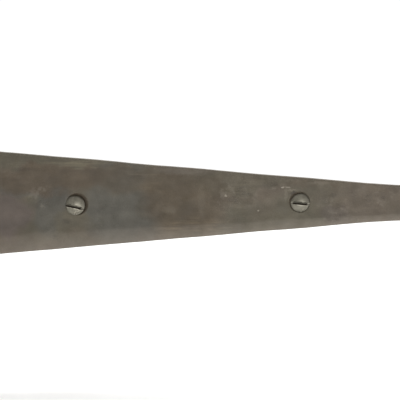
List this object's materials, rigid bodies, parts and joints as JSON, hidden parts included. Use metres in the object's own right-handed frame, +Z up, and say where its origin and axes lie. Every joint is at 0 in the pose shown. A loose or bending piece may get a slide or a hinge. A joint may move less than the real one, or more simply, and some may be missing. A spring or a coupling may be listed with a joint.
{
  "type": "t hinge",
  "caption": "Heavy forged T hinge: a long tapering strap with a spear tip, a tall jamb leaf, a riveted pin and slotted wood screws.",
  "frame": {"origin": "on the mounting plane, which is the back of both leaves, straight behind the pin's axis and at the barrel's mid-height", "axes": "+X along the strap from the pin to its tip, +Y into the door as the screws run, with the hinge's face looking towards -Y, and +Z up along the pin"},
  "size_m": [0.47, 0.0557, 0.176],
  "materials": {
    "forged_iron": "old dark brown-grey forged iron, dull, with faint rust and lengthwise file marks",
    "pin_iron": "dark iron rod with hammered heads, slightly polished where it is struck",
    "washer_iron": "dark worn iron",
    "screw_iron": "old greenish-grey steel, scratched round the slot"
  },
  "bodies": {
    "jamb": {"jamb_leaf": "forged_iron", "hinge_pin": "pin_iron", "thrust_washer_upper": "washer_iron", "thrust_washer_lower": "washer_iron", "rivet_washer_upper": "washer_iron", "rivet_washer_lower": "washer_iron", "jamb_screw_1": "screw_iron", "jamb_screw_2": "screw_iron", "jamb_screw_3": "screw_iron", "jamb_screw_4": "screw_iron", "jamb_screw_5": "screw_iron", "jamb_screw_6": "screw_iron"},
    "strap": {"strap_leaf": "forged_iron", "strap_screw_1": "screw_iron", "strap_screw_2": "screw_iron", "strap_screw_3": "screw_iron", "strap_screw_4": "screw_iron"}
  },
  "joints": [
    {"name": "strap_swing", "type": "hinge", "parent": "jamb", "child": "strap", "pos_m": [0, -0.01105, 0], "axis": [0, 0, -1], "range_deg": [0, 180]}
  ]
}
